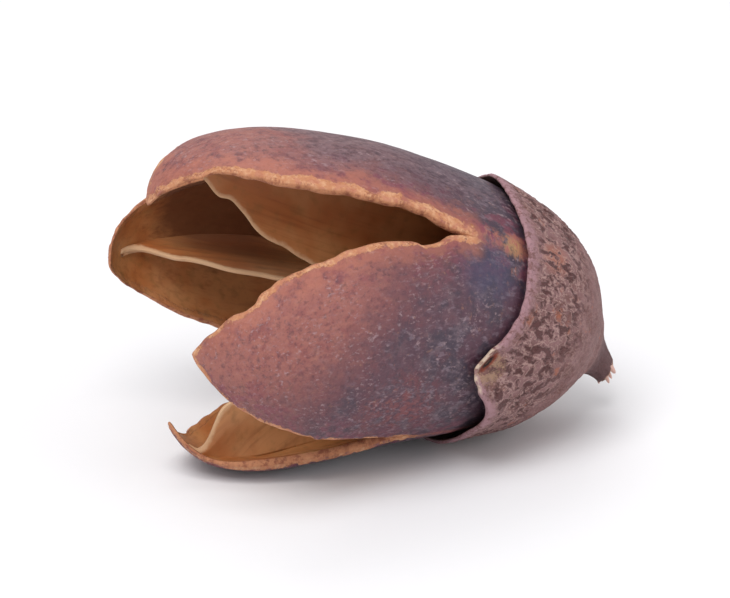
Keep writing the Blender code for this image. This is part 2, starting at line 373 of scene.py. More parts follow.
def carry(valve, share, out, across, height):
    """Moves a point of the closed egg with its valve, which has turned out on its hinge."""
    opened = max(share - HINGE_AT, 0.0) / (1.0 - HINGE_AT)
    turn = math.radians(valve["opens"]) * opened
    lean = math.radians(valve["leans"]) * opened
    hinge_out, hinge_height = profile_point(HINGE_AT)
    d_out = out - hinge_out
    d_height = (height - hinge_height) * (1.0 + (valve["length"] - 1.0) * opened)
    out = hinge_out + d_out * math.cos(turn) + d_height * math.sin(turn)
    height = hinge_height - d_out * math.sin(turn) + d_height * math.cos(turn)
    across += (height - hinge_height) * math.sin(lean)
    direction = math.radians(valve["points"])
    x = out * math.cos(direction) - across * math.sin(direction)
    y = out * math.sin(direction) + across * math.cos(direction)
    return bend_axis(Vector((x, y, height)))


def margin_shrink(valve, seam, share):
    """How far the valve's edge on this seam has drawn back from it."""
    gapes = smooth(seam["gapes_from"], seam["gapes_from"] + GAPE_EASE, share)
    row = valve["points"] + seam["at"]
    wave = noise.noise(Vector((share * LENGTH / WAVE_SIZE, row, 0.5)))
    return gapes * (valve["shrinks"] * MM + MARGIN_WAVE * wave)


def raggedness(valve, seam, share):
    """The finer wear of the same edge: small waves, and a few nibbles."""
    gapes = smooth(seam["gapes_from"], seam["gapes_from"] + 0.05, share)
    row = 0.37 * valve["points"] + 0.61 * seam["at"]
    along = share * LENGTH
    worn = sum(height * noise.noise(Vector((along / size, row, size / MM))) for height, size in RAGGED)
    nibble = noise.noise(Vector((along / NIBBLE_SIZE, row, 7.5)))
    return gapes * (worn + NIBBLE * smooth(0.28, 0.6, nibble))


def valve_point(valve, share, angle):
    """(place, its place in the closed egg, distance from the seam less the bare band's width) of a point outside."""
    seam = SEAMS[VALVES.index(valve) - int(angle < 0.0)]
    span = abs(angle_between(math.radians(seam["at"]), math.radians(valve["points"])))
    edge_share = abs(angle) / math.radians(EVEN_SEAM)
    angle *= span / math.radians(EVEN_SEAM)
    radius, height = profile_point(share)
    azimuth = math.radians(valve["points"]) + angle
    grown = Vector((radius * math.cos(azimuth), radius * math.sin(azimuth), height)) / MM
    band = BANDS[VALVES.index(valve)] * (1.0 + BAND_UNEVEN * noise.noise(grown / BAND_DRIFT)) * MM
    from_band = (span - abs(angle)) * radius - band
    lump = Vector((radius * math.cos(angle), radius * math.sin(angle), height)) / LUMP_SIZE
    lump.x += valve["points"]
    radius += LUMP_HEIGHT * noise.noise(lump) * smooth(LUMPS_FROM, LUMPS_BY, share)
    half_width = radius * span
    if half_width > 0.0:
        blunt = smooth(0.0, BLUNT_TIP, half_width)
        shrink = margin_shrink(valve, seam, share)
        shrink += raggedness(valve, seam, share) * edge_share ** RAGGED_REACH
        angle *= 1.0 - min(shrink * blunt / half_width, MOST_SHRINK)
    flatness = 1.0 + (valve["flatness"] - 1.0) * smooth(HINGE_AT, FLAT_BY, share)
    across = radius * flatness * math.sin(angle / flatness)
    out = radius - radius * flatness * (1.0 - math.cos(angle / flatness))
    return carry(valve, share, out, across, height), grown, from_band


def pick(obj, kind, wanted):
    """Goes into edit mode with just those vertices, edges or polygons selected that are wanted."""
    only(obj)
    bpy.ops.object.mode_set(mode="EDIT")
    bpy.ops.mesh.select_mode(type={"vertices": "VERT", "edges": "EDGE", "polygons": "FACE"}[kind])
    bpy.ops.mesh.select_all(action="DESELECT")
    bpy.ops.object.mode_set(mode="OBJECT")
    for element in getattr(obj.data, kind):
        element.select = wanted(element)
    bpy.ops.object.mode_set(mode="EDIT")


def write(obj, name, values):
    """Keeps one number, or one vector, for each vertex under this name, for the material to read."""
    kind, field = ("FLOAT_VECTOR", "vector") if isinstance(values[0], Vector) else ("FLOAT", "value")
    stored = obj.data.attributes.get(name) or obj.data.attributes.new(name, kind, "POINT")
    flat = [part for value in values for part in value] if kind == "FLOAT_VECTOR" else values
    stored.data.foreach_set(field, flat)


def read(obj, name):
    return [getattr(item, "vector", None) or item.value for item in obj.data.attributes[name].data]


def relief(grown, layers):
    """How far a surface sinks at this place of the closed egg: each layer is a depth and a grain in millimetres."""
    sunk = 0.0
    for depth, grain_size in layers:
        place = Vector([part / size for part, size in zip(grown, grain_size)])
        sunk += depth * (0.5 + 0.5 * noise.noise(place + Vector((3.7, 1.9, grain_size[0]))))
    return sunk


def lay_down(obj):
    """Turns the standing pod's piece onto its side, where the solid lies, and holds it in the solid's box."""
    lie = Matrix.Translation(LYING_AT)
    lie @= Matrix.Rotation(math.radians(MOUTH_UP - 90.0), 4, "Y")
    lie @= Matrix.Rotation(math.radians(ROLL), 4, "Z")
    obj.data.transform(lie)
    low, high = cad_box
    for vert in obj.data.vertices:
        vert.co = [min(max(part, least), most) for part, least, most in zip(vert.co, low, high)]
    obj.data.update()


def finish_piece(obj, name, materials, replaced=()):
    obj.name = name
    obj.data.name = name
    obj.data.materials.clear()
    for material in materials:
        obj.data.materials.append(material)
    obj.data.shade_smooth()
    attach(obj, "root")
    if replaced:
        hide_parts(*replaced)


bpy.ops.object.select_all(action="DESELECT")
bpy.ops.mesh.primitive_uv_sphere_add(segments=WALL_AROUND, ring_count=WALL_ALONG, radius=1.0)
capsule_wall = bpy.context.object


def sphere_share(place):
    return min(max((1.0 + place.z) / 2.0, 0.0), 1.0)


def on_gaping_seam(edge):
    ends = [capsule_wall.data.vertices[index].co for index in edge.vertices]
    shares = [sphere_share(end) for end in ends]
    if abs(shares[0] - shares[1]) < 1e-6:
        return False
    middle = (ends[0] + ends[1]) / 2.0
    azimuth = math.atan2(middle.y, middle.x)
    for even_valve, even_seam in zip(VALVES, SEAMS):
        at = math.radians(even_valve["points"] + EVEN_SEAM)
        if abs(angle_between(azimuth, at)) < 1e-3 and min(shares) > even_seam["gapes_from"]:
            return True
    return False


pick(capsule_wall, "edges", on_gaping_seam)
bpy.ops.mesh.edge_split(type="EDGE")
bpy.ops.object.mode_set(mode="OBJECT")

beside = [Vector() for vert in capsule_wall.data.vertices]
for face in capsule_wall.data.polygons:
    for index in face.vertices:
        beside[index] += face.center
shares, grown_at, from_bands, thicknesses = [], [], [], []
for vert, towards in zip(capsule_wall.data.vertices, beside):
    share = sphere_share(vert.co)
    azimuth = math.atan2(towards.y, towards.x)
    valve = min(VALVES, key=lambda each: abs(angle_between(azimuth, math.radians(each["points"]))))
    if math.hypot(vert.co.x, vert.co.y) > 1e-6:
        azimuth = math.atan2(vert.co.y, vert.co.x)
    angle = angle_between(azimuth, math.radians(valve["points"]))
    even = angle / math.radians(EVEN_SEAM)
    angle *= 1.0 + CROWDING * (1.0 - even * even)
    vert.co, grown, from_band = valve_point(valve, share, angle)
    shares.append(share)
    grown_at.append(grown)
    from_bands.append(from_band / MM)
    thicknesses.append(wall_at(share) / WALL)
write(capsule_wall, "along", shares)
write(capsule_wall, "grown", grown_at)
write(capsule_wall, "from_band", from_bands)
thickness_group = capsule_wall.vertex_groups.new(name="wall")
for index, thickness in enumerate(thicknesses):
    thickness_group.add([index], thickness, "REPLACE")

only(capsule_wall)
bpy.ops.object.mode_set(mode="EDIT")
bpy.ops.mesh.select_all(action="SELECT")
bpy.ops.mesh.normals_make_consistent(inside=False)
bpy.ops.object.mode_set(mode="OBJECT")
write(capsule_wall, "outwards", [vert.normal.copy() for vert in capsule_wall.data.vertices])
outer_count = len(capsule_wall.data.vertices)
solidify = capsule_wall.modifiers.new("wall", "SOLIDIFY")
solidify.thickness = WALL
solidify.offset = -1.0
solidify.vertex_group = "wall"
bpy.ops.object.modifier_apply(modifier="wall")
count = len(capsule_wall.data.vertices)
write(capsule_wall, "inside", [float(index >= outer_count) for index in range(count)])


def crosses_rim(edge):
    first, second = sorted(edge.vertices)
    return first < outer_count <= second


pick(capsule_wall, "edges", crosses_rim)
bpy.ops.mesh.subdivide(number_cuts=RIM_CUTS)
bpy.ops.object.mode_set(mode="OBJECT")

# Sink the relief, step the skin down to the bare band at the edge, and round and pit the torn rim
insides = read(capsule_wall, "inside")
moves = []
for vert, inside, grown, from_band, share, outwards in zip(
    capsule_wall.data.vertices,
    insides,
    read(capsule_wall, "grown"),
    read(capsule_wall, "from_band"),
    read(capsule_wall, "along"),
    read(capsule_wall, "outwards"),
):
    worn = from_band + 0.5 * noise.noise(grown / 0.9) + 0.3 * noise.noise(grown / 0.4)
    stepped = smooth(0.12, -0.12, worn) * smooth(0.36, 0.44, share)
    skin_sunk = SKIN_OFFSET + relief(grown, SKIN_RELIEF)
    skin_sunk += stepped * (BAND_STEP - BAND_LUMPS * noise.noise(vert.co / BAND_LUMP_SIZE))
    sunk = skin_sunk * (1.0 - inside) + relief(grown, LINING_RELIEF) * inside
    move = outwards * -sunk
    if 0.001 < inside < 0.999:
        bulge = RIM_BULGE * wall_at(share) * (1.0 - (2.0 * inside - 1.0) ** 2)
        pits = sum(height * noise.noise(vert.co / size) for height, size in RIM_PITS)
        move += vert.normal * (bulge + pits)
    moves.append(move)
for vert, move in zip(capsule_wall.data.vertices, moves):
    vert.co += move
on_rim = set()
for edge in capsule_wall.data.edges:
    levels = [insides[index] for index in edge.vertices]
    if abs(levels[0] - levels[1]) > 0.001:
        on_rim.update(edge.vertices)
pick(capsule_wall, "vertices", lambda vert: vert.index in on_rim)
bpy.ops.mesh.vertices_smooth(factor=0.5, repeat=RIM_SOFTENING)
bpy.ops.object.mode_set(mode="OBJECT")
lay_down(capsule_wall)


def rgb(red, green, blue):
    """A colour named in the usual 0 to 255 steps, as the shader counts it."""
    parts = [part / 255.0 for part in (red, green, blue)]
    return tuple(part / 12.92 if part < 0.04045 else ((part + 0.055) / 1.055) ** 2.4 for part in parts)


SKIN_ROSE = rgb(150, 90, 82)
SKIN_LIGHT = rgb(167, 106, 92)
SKIN_RED = rgb(124, 62, 64)
SKIN_PLUM = rgb(84, 48, 62)
SKIN_SLATE = rgb(56, 46, 62)
SKIN_GREY = rgb(100, 84, 94)
SKIN_DARK = rgb(46, 34, 42)
SKIN_MAGENTA = rgb(122, 56, 74)
SKIN_FROST_AND_HIGHLIGHT = rgb(142, 122, 134)
PLUM_PATCH = (-7.4, -10.9, 22.5)
SCURF = rgb(172, 146, 150)
BAND_TAN = rgb(188, 128, 92)
BAND_PALE = rgb(208, 158, 122)
BAND_BROWN = rgb(138, 80, 58)
MARGIN_ORANGE = rgb(172, 102, 82)
SEAM_PINK = rgb(168, 104, 88)
SEAM_VIOLET = rgb(126, 56, 78)
WORN_GOLD = rgb(180, 138, 92)
LINING_ORANGE = rgb(166, 98, 52)
LINING_TAN = rgb(186, 130, 82)
LINING_RED = rgb(104, 50, 24)
LINING_OLIVE = rgb(124, 90, 48)
# The next two are the colour and the centre, in millimetres, of a painted shadow that the top valve casts on the back
# valve's lining.
PAINTED_SHADOW_BROWN = rgb(84, 40, 22)
TOP_VALVE_SHADOW_AT = (5.5, 9.6, 30.0)
BLOOM_BLUE = rgb(58, 56, 84)
SEAM_PATCH = (9.2, -9.3, 12.8)
LIP_SCUFF = (7.2, -11.0, 12.6)
BLUE_PATCH = (6.6, -11.3, 15.5)


def near(finish, vector, point, reach, soft):
    """1 within reach of the point, and 0 past that by the soft distance, all in millimetres."""
    distance = finish.node("ShaderNodeVectorMath", {"operation": "DISTANCE"}, {0: vector, 1: point}, 1)
    return finish.ease(distance, reach + soft, reach)


def lining(finish, grown, along):
    """(colour, bump height) of the smooth inner skin, with painted shade down in the pod and a painted shadow cast by
    the top valve on the back valve's lining.
    """
    clouds = finish.noise(grown, 0.14, detail=3.0)
    fibres = finish.noise(finish.stretched(grown, (1.6, 1.6, 0.12)), 1.0, detail=4.0)
    mottle = finish.noise(grown, 0.9, detail=5.0)
    colour = finish.mix(finish.ease(clouds, 0.36, 0.64), LINING_ORANGE, LINING_TAN)
    colour = finish.mix(finish.ease(mottle, 0.48, 0.72) * 0.40, colour, LINING_OLIVE)
    colour = finish.mix(finish.ease(fibres, 0.48, 0.72) * 0.30, colour, LINING_RED)
    # Painted shade: the lining is darkened towards the base, down in the pod where the valves shade it.
    painted_depth_shade = finish.ease(along + (clouds - 0.5) * 0.3, 0.60, 0.24)
    colour = finish.mix(painted_depth_shade * 0.85, colour, LINING_RED)
    # Painted shadow: the back valve's upper lining is darkened where the top valve shades it.
    painted_shadow = finish.ease(near(finish, grown, TOP_VALVE_SHADOW_AT, 3.5, 8.0) + (clouds - 0.5) * 0.8 + (fibres - 0.5) * 0.5, 0.15, 0.85)
    colour = finish.mix(painted_shadow * 0.85, colour, PAINTED_SHADOW_BROWN)
    return colour, fibres * 0.7 + mottle * 0.3


def parts_of(finish, vector):
    """The vector's three parts."""
    first = finish.node("ShaderNodeSeparateXYZ", None, {0: vector})
    return [Value(finish, output) for output in first.socket.node.outputs]


husk = Finish("husk", roughness=0.6)
grown = husk.attribute("grown", output="Vector")
along = husk.attribute("along")
inside = husk.attribute("inside")
from_band = husk.attribute("from_band")
grown_x, grown_y, grown_z = parts_of(husk, grown)
from_axis = ((grown_x * grown_x + grown_y * grown_y) ** 0.5).most(0.01)
facing_top = grown_x / from_axis

clouds = husk.noise(grown, 0.11, detail=4.0, roughness=0.5)
mottle = husk.noise(grown, 0.42, detail=6.0, roughness=0.62)
grain = husk.noise(grown, 2.0, detail=6.0, roughness=0.65)
fine = husk.noise(grown, 5.0, detail=3.0, roughness=0.6)
streaks = husk.noise(husk.stretched(grown, (1.7, 1.7, 0.20)), 1.0, detail=5.0)

# Dusty rose towards the tips, then red and plum, then a slate bloom over the base and the ridges, with a painted grey
# sheen along the top valve's ridge
bloom = along + facing_top * 0.22 + (clouds - 0.5) * 0.30 + (mottle - 0.5) * 0.30
blotch = husk.noise(grown, 0.95, detail=5.0, roughness=0.6)
skin = husk.mix(husk.ease(mottle + (grain - 0.5) * 0.5, 0.40, 0.64) * 0.60, SKIN_ROSE, SKIN_RED)
skin = husk.mix(husk.ease(streaks + (grain - 0.5) * 0.4, 0.44, 0.66) * 0.50, skin, SKIN_LIGHT)
skin = husk.mix(husk.ease(blotch + (grain - 0.5) * 0.5, 0.50, 0.70) * 0.40, skin, SKIN_PLUM)
skin = husk.mix(husk.ease(blotch + (fine - 0.5) * 0.3, 0.48, 0.32) * 0.30, skin, SKIN_LIGHT)
skin = husk.mix(husk.ease(bloom + (blotch - 0.5) * 0.3, 0.92, 0.60) * 0.85, skin, SKIN_PLUM)
slated = husk.ease(bloom + (blotch - 0.5) * 0.26, 0.67, 0.48)
skin = husk.mix(slated * 0.9, skin, husk.mix(husk.ease(blotch, 0.44, 0.68), SKIN_SLATE, SKIN_GREY))
skin = husk.mix(slated * husk.ease(mottle, 0.44, 0.60) * 0.75, skin, SKIN_PLUM)
# Along the top valve's ridge: slate bloom under a painted grey sheen, where light falls from above.
ridge_sheen_and_bloom = husk.ease(facing_top + (mottle - 0.5) * 0.35, 0.76, 0.97) * husk.ease(bloom, 1.08, 0.92)
skin = husk.mix(ridge_sheen_and_bloom * 0.70, skin, husk.mix(husk.ease(blotch + (grain - 0.5) * 0.5, 0.44, 0.60), SKIN_GREY, SKIN_SLATE))
margin_drift = husk.ease(from_band + (clouds - 0.5) * 6.0, 5.0, 1.0) * husk.ease(mottle + (blotch - 0.5) * 0.7, 0.48, 0.60)
skin = husk.mix(margin_drift * husk.ease(bloom, 1.05, 0.80) * 0.55, skin, SKIN_MAGENTA)
lower_patch = near(husk, grown, PLUM_PATCH, 1.5, 5.5) * husk.ease(mottle + (grain - 0.5) * 0.6, 0.32, 0.50)
lower_red = husk.mix(husk.ease(blotch + (grain - 0.5) * 0.6, 0.42, 0.60), SKIN_RED, SKIN_PLUM)
skin = husk.mix(lower_patch * 0.85, skin, lower_red)
# Pale lavender flecks over the slate: frosty scurf, partly painted highlight.
glints = husk.ease(husk.noise(husk.stretched(grown, (2.0, 2.0, 1.1)), 1.0, detail=4.0, roughness=0.6), 0.52, 0.70)
skin = husk.mix(glints * (slated * 0.36 + 0.12), skin, SKIN_FROST_AND_HIGHLIGHT)
skin = husk.mix(husk.ease(grain, 0.50, 0.68) * 0.32, skin, SKIN_DARK)
skin = husk.mix(husk.ease(fine, 0.54, 0.70) * 0.25, skin, SKIN_DARK)

# Light scurf in drifts of small, uneven flecks
drift = husk.ease(husk.noise(grown, 0.30, detail=3.0), 0.40, 0.60)
flake = husk.noise(husk.stretched(grown, (2.9, 2.9, 2.0)), 1.0, detail=3.0, roughness=0.6)
scurf = husk.ease(flake, 0.54, 0.72) * (drift * 0.45 + 0.10)
skin = husk.mix(scurf, skin, SCURF)

# The seam that stayed closed is scuffed pink, with a worn golden patch at the cup's lip
opened = husk.ease(along, 0.385, 0.425)
scratches = husk.noise(husk.stretched(grown, (0.8, 0.8, 4.5)), 1.0, detail=5.0, roughness=0.7)
seam_edge = from_band + (grain - 0.5) * 1.0 + (mottle - 0.5) * 2.6
healed = husk.ease(seam_edge, 0.75, 0.05) * (1.0 - opened) * husk.ease(mottle + grain * 0.5, 0.62, 0.86)
skin = husk.mix(healed * 0.8, skin, husk.mix(husk.ease(scratches + (mottle - 0.5) * 0.8, 0.50, 0.62), SEAM_PINK, SEAM_VIOLET))
patch = near(husk, grown, SEAM_PATCH, 0.2, 2.3).most(near(husk, grown, LIP_SCUFF, 0.1, 1.5) * 0.8)
patch = husk.ease(patch + (scratches - 0.5) * 1.8 + (grain - 0.5) * 1.2, 0.25, 0.85)
gold = husk.mix(husk.ease(scratches + (grain - 0.5) * 0.6, 0.48, 0.64), WORN_GOLD, SEAM_PINK)
skin = husk.mix(patch * 0.80, skin, gold)
blue = near(husk, grown, BLUE_PATCH, 1.0, 3.2)
skin = husk.mix(blue * husk.ease(mottle, 0.32, 0.52) * 0.7, skin, BLOOM_BLUE)

bare_edge = from_band + (grain - 0.5) * 1.2 + (mottle - 0.5) * 1.0 + (fine - 0.5) * 0.5
band = husk.ease(bare_edge, 0.10, -0.10) * opened
bare = husk.mix(husk.ease(grain, 0.42, 0.62), BAND_TAN, BAND_PALE)
bare = husk.mix(husk.ease(mottle + (fine - 0.5) * 0.5, 0.50, 0.62) * 0.75, bare, BAND_BROWN)
bare = husk.mix(husk.ease(blotch + (grain - 0.5) * 0.5, 0.50, 0.60) * 0.6, bare, MARGIN_ORANGE)
warm = husk.ease(from_band + (blotch - 0.5) * 4.0 + (mottle - 0.5) * 4.0 + (grain - 0.5) * 2.0, 2.4, 0.0) * opened
skin = husk.mix(warm * (facing_top * 0.35 + 0.30).within(), skin, MARGIN_ORANGE)
band = band * (1.0 - husk.ease(mottle + (blotch - 0.5) * 0.8, 0.56, 0.66) * 0.6)
skin = husk.mix(band, skin, bare)

# The torn edge through the wall, in the same fibres, and the lining
place = husk.place()
crumb = husk.noise(place, 1600.0, detail=4.0, roughness=0.7)
torn = husk.mix(husk.ease(crumb, 0.34, 0.56), BAND_BROWN, BAND_TAN)
torn = husk.mix(husk.ease(crumb, 0.60, 0.72) * 0.6, torn, BAND_PALE)
torn = husk.mix(husk.ease(mottle + (blotch - 0.5) * 0.8, 0.50, 0.64) * 0.55, torn, BAND_BROWN)
lining_colour, lining_height = lining(husk, grown, along)
colour = husk.mix(husk.ease(inside + (crumb - 0.5) * 0.4, 0.02, 0.25), skin, torn)
colour = husk.mix(husk.ease(inside + (crumb - 0.5) * 0.5, 0.75, 0.98), colour, lining_colour)

lined = husk.ease(inside, 0.85, 1.0)
edge_on = husk.ease(inside, 0.0, 0.1) * (1.0 - lined)
rough = 0.54 + scurf * 0.25 + (grain - 0.5) * 0.30
rough = (rough * (1.0 - lined) + 0.42 * lined).most(band * 0.85).most(edge_on * 0.85)
height = (grain * 0.8 + fine * 0.25 + mottle * 0.5 + scurf * 0.30) * (1.0 - lined)
height = height + crumb * (edge_on + band) * 0.8 + lining_height * lined * 0.3
husk_normal = husk.bump(height, 0.10 * MM, 1.0)
finish_piece(
    capsule_wall,
    "capsule_wall",
    [husk.wear(Base_Color=colour, Roughness=rough, Normal=husk_normal)],
    replaced=("capsule",),
)


# ---- Septa ----------------------------------------------------------------------------------
# A thin woody plate stands along the inside of each valve. It grew out of the wall, and its free
# edge runs up to the column at the base and dies away in an S towards the valve's tip.

SEPTUM = 0.9 * MM
SEPTUM_FROM = 0.035
SEPTUM_TO = 0.985
SEPTUM_REACH = (1.0, 1.0, 1.0, 0.99, 0.98, 0.95, 0.86, 0.60, 0.10)
SEPTUM_STEPS = (190, 46)
SEPTUM_ROOT = 1.9 * MM
SEPTUM_EDGE = 0.38 * MM
FILLET = 0.16
EDGE_WEAR = 0.16 * MM
WARP = 0.28 * MM
SEPTUM_PALE = rgb(214, 176, 138)


def septum_edge(share):
    """Radius, in the closed egg, of the septum's free edge."""
    along = (share - SEPTUM_FROM) / (SEPTUM_TO - SEPTUM_FROM) * (len(SEPTUM_REACH) - 1)
    index = min(int(along), len(SEPTUM_REACH) - 2)
    part = smooth(0.0, 1.0, along - index)
    reach = SEPTUM_REACH[index] * (1.0 - part) + SEPTUM_REACH[index + 1] * part
    return profile_point(share, -wall_at(share))[0] * (1.0 - reach)


plate = Finish("septum", roughness=0.5)
grown = plate.attribute("grown", output="Vector")
from_edge = plate.attribute("from_edge")
colour, height = lining(plate, grown, plate.attribute("along"))
grain = plate.noise(grown, 2.4, detail=5.0)
edge = plate.ease(from_edge + (grain - 0.5) * 0.5, 0.55, 0.10)
colour = plate.mix(edge * 0.80, colour, SEPTUM_PALE)
plate_material = plate.wear(
    Base_Color=colour,
    Roughness=0.46 + edge * 0.3,
    Normal=plate.bump(height + grain * 0.3, 0.05 * MM, 0.7),
)

for valve, side in zip(VALVES, ("top", "back", "low", "front")):
    bpy.ops.object.select_all(action="DESELECT")
    bpy.ops.mesh.primitive_grid_add(x_subdivisions=SEPTUM_STEPS[0], y_subdivisions=SEPTUM_STEPS[1], size=2.0)
    septum = bpy.context.object
    direction = math.radians(valve["points"])
    grown_at, shares, from_edges, thicknesses = [], [], [], []
    for vert in septum.data.vertices:
        share = SEPTUM_FROM + (SEPTUM_TO - SEPTUM_FROM) * (vert.co.x + 1.0) / 2.0
        inwards = (vert.co.y + 1.0) / 2.0
        root, height_at = profile_point(share, -wall_at(share) * 0.9)
        free = septum_edge(share)
        row = Vector((share * LENGTH / (1.6 * MM), valve["points"], 0.0))
        free += EDGE_WEAR * noise.noise(row) * smooth(0.3, 0.5, share)
        out = root + (free - root) * inwards
        along_row = Vector((share * LENGTH / (9.0 * MM), valve["points"], inwards * 0.8))
        across = WARP * noise.noise(along_row) * inwards
        vert.co = carry(valve, share, out, across, height_at)
        grown_at.append(Vector((out * math.cos(direction), out * math.sin(direction), height_at)) / MM)
        shares.append(share)
        from_edges.append(abs(root - free) * (1.0 - inwards) / MM)
        depth = abs(root - out)
        fillet = max(1.0 - depth / (FILLET * RADIUS), 0.0) ** 2 * smooth(1.0, 0.80, share)
        body = SEPTUM * 0.8 + (SEPTUM_EDGE - SEPTUM * 0.8) * smooth(0.6, 1.0, inwards)
        width = body + (SEPTUM_ROOT - body) * fillet
        thicknesses.append(width / SEPTUM_ROOT)
    write(septum, "grown", grown_at)
    write(septum, "along", shares)
    write(septum, "from_edge", from_edges)
    group = septum.vertex_groups.new(name="plate")
    for index, thickness in enumerate(thicknesses):
        group.add([index], min(thickness, 1.0), "REPLACE")
    solidify = septum.modifiers.new("plate", "SOLIDIFY")
    solidify.thickness = SEPTUM_ROOT
    solidify.offset = 0.0
    solidify.vertex_group = "plate"
    only(septum)
    bpy.ops.object.modifier_apply(modifier="plate")
    lay_down(septum)
    finish_piece(septum, "septum_" + side, [plate_material])


# ---- Column ---------------------------------------------------------------------------------
# The short woody column that the four septa grew from. Its top is torn, where the seeds and the
# middle of the pod came away.

COLUMN_LENGTH = 15.5 * MM
COLUMN_FOOT = 2.3 * MM
COLUMN_TOP = 1.2 * MM
COLUMN_SIDES = 64
COLUMN_RINGS = 60

bpy.ops.object.select_all(action="DESELECT")
bpy.ops.mesh.primitive_grid_add(x_subdivisions=COLUMN_SIDES, y_subdivisions=COLUMN_RINGS, size=2.0)
column = bpy.context.object
grown_at = []
for vert in column.data.vertices:
    turn = math.pi * (vert.co.x + 1.0)
    rise = (vert.co.y + 1.0) / 2.0
    up = min(rise / 0.85, 1.0)
    closing = math.cos(math.pi / 2.0 * max(rise - 0.85, 0.0) / 0.15)
    radius = (COLUMN_FOOT + (COLUMN_TOP - COLUMN_FOOT) * up) * closing
    ribs = 0.16 * math.cos(4.0 * turn) + 0.10 * noise.noise(Vector((math.cos(turn), math.sin(turn), up)) * 2.5)
    radius *= 1.0 + ribs
    height_at = WALL / 2.0 + COLUMN_LENGTH * (0.92 * up + 0.05 * (rise > 0.85) * (1.0 - closing))
    torn_here = noise.noise(Vector((math.cos(turn) * 2.2, math.sin(turn) * 2.2, 3.0 * radius / COLUMN_TOP)))
    height_at += 1.0 * MM * torn_here * smooth(0.8, 0.86, rise)
    vert.co = bend_axis(Vector((radius * math.cos(turn), radius * math.sin(turn), height_at)))
    grown_at.append(Vector((radius * math.cos(turn), radius * math.sin(turn), height_at)) / MM)
write(column, "grown", grown_at)
pick(column, "vertices", lambda vert: True)
bpy.ops.mesh.remove_doubles(threshold=0.002 * MM)
bpy.ops.mesh.normals_make_consistent(inside=False)
bpy.ops.object.mode_set(mode="OBJECT")
lay_down(column)

wood = Finish("column_wood", roughness=0.85)
grown = wood.attribute("grown", output="Vector")
strands = wood.noise(wood.stretched(grown, (2.6, 2.6, 0.35)), 1.0, detail=5.0)
colour = wood.mix(wood.ease(strands, 0.35, 0.65), LINING_RED, BAND_TAN)
finish_piece(column, "column", [wood.wear(Base_Color=colour, Normal=wood.bump(strands, 0.2 * MM))])


# ---- Calyx cup and stalk --------------------------------------------------------------------
# The dry cup that still holds the pod's base, and the stub of its stalk, one leathery growth. It
# is smooth at its thin lip and netted with ridges below, and a torn flap stands up the front valve.

CUP_REACH = 0.305
CUP_GAP = 0.35 * MM
CUP_WALL = 0.95 * MM
LIP_WALL = 0.42
CUP_FLARE = 0.02 * MM
LOBES = 4
LOBE_HEIGHT = 0.008
LOBE_TURN = 100.0
RIM_WEAR = 0.016
WEAR_ROUND = 1.3
FLAP_AT = math.radians(261.0)
FLAP_WIDTH = math.radians(13.0)
FLAP_HEIGHT = 0.075
LOBES_FROM = 0.15
STALK = ((4.2, -0.75), (2.9, -1.7), (2.1, -2.6), (1.7, -3.6), (1.45, -4.5))
STALK_END = -5.3 * MM
STALK_HOOK = -1.6 * MM
CUP_AROUND = 420
CUP_INSIDE = 26
LIP_ROWS = 5
CUP_OUTSIDE = 84
SHARES_UNDER_STALK = 0.030
STALK_ROWS = 30
BELOW_FLAP_AT = math.radians(243.0)
BELOW_FLAP_WIDTH = math.radians(15.0)
STAND_OFF = 1.20 * MM
LIP_RAGGED = ((0.0045, 2.6), (0.0034, 0.9))
CELL = 0.70
PIT_DEPTH = 0.20 * MM
SWELL_DEPTH = 0.15 * MM
STALK_RIBS = 0.30 * MM
TORN_AT = (0.3, 14.3)
TORN_SIZE = (2.0, 2.1)
GASH_AT = (0.8, 14.55)
GASH_SIZE = (1.25, 0.36)
GASH_SLANT = math.radians(-38.0)
GASH_DEPTH = 0.35 * MM


def bell(azimuth, middle, width):
    off = angle_between(azimuth, middle) / width
    return math.exp(-off * off)


def calyx_lobe(azimuth):
    """How much further than its mean reach the cup's rim stands here, as a share of the length."""
    around = Vector((math.cos(azimuth), math.sin(azimuth), LOBES)) * WEAR_ROUND
    lobes = math.cos(LOBES * (azimuth + math.radians(LOBE_TURN)))
    flap = FLAP_HEIGHT * bell(azimuth, FLAP_AT, FLAP_WIDTH)
    return LOBE_HEIGHT * lobes + flap + RIM_WEAR * noise.noise(around)


def lip_wear(azimuth):
    """The finer wear of the rim, rougher round the flap, which only the lip follows."""
    arc = azimuth * RADIUS / MM
    ragged = sum(height * noise.noise(Vector((arc / size, size, 0.0))) for height, size in LIP_RAGGED)
    return ragged * (1.0 + 3.2 * bell(azimuth, FLAP_AT, FLAP_WIDTH))


def on_flap(azimuth, height_at, centre, size, slant=0.0):
    """1 at this place on the flap, fading to 0 past its size. Places are along the rim and up the pod, in millimetres."""
    along_rim = angle_between(azimuth, FLAP_AT) * (RADIUS + CUP_WALL) / MM - centre[0]
    up = height_at / MM - centre[1]
    longways = (along_rim * math.cos(slant) + up * math.sin(slant)) / size[0]
    sideways = (up * math.cos(slant) - along_rim * math.sin(slant)) / size[1]
    return math.exp(-longways ** 2 - sideways ** 2)


def along_stalk(step):
    """(radius, height) on the stalk's outline, from the cup at 0 to its broken end at 1."""
    cup_shares = (2.0 * SHARES_UNDER_STALK, SHARES_UNDER_STALK)
    points = [profile_point(share, CUP_GAP + CUP_WALL) for share in cup_shares]
    points += [(radius * MM, height * MM) for radius, height in STALK]
    along = step * (len(points) - 2) + 1.0
    index = min(int(along), len(points) - 2)
    part = along - index
    before, after = points[index - 1], points[min(index + 2, len(points) - 1)]
    return [
        0.5 * (2.0 * b + (c - a) * part + (2.0 * a - 5.0 * b + 4.0 * c - d) * part ** 2
               + (3.0 * b - a - 3.0 * c + d) * part ** 3)
        for a, b, c, d in zip(before, points[index], points[index + 1], after)
    ]


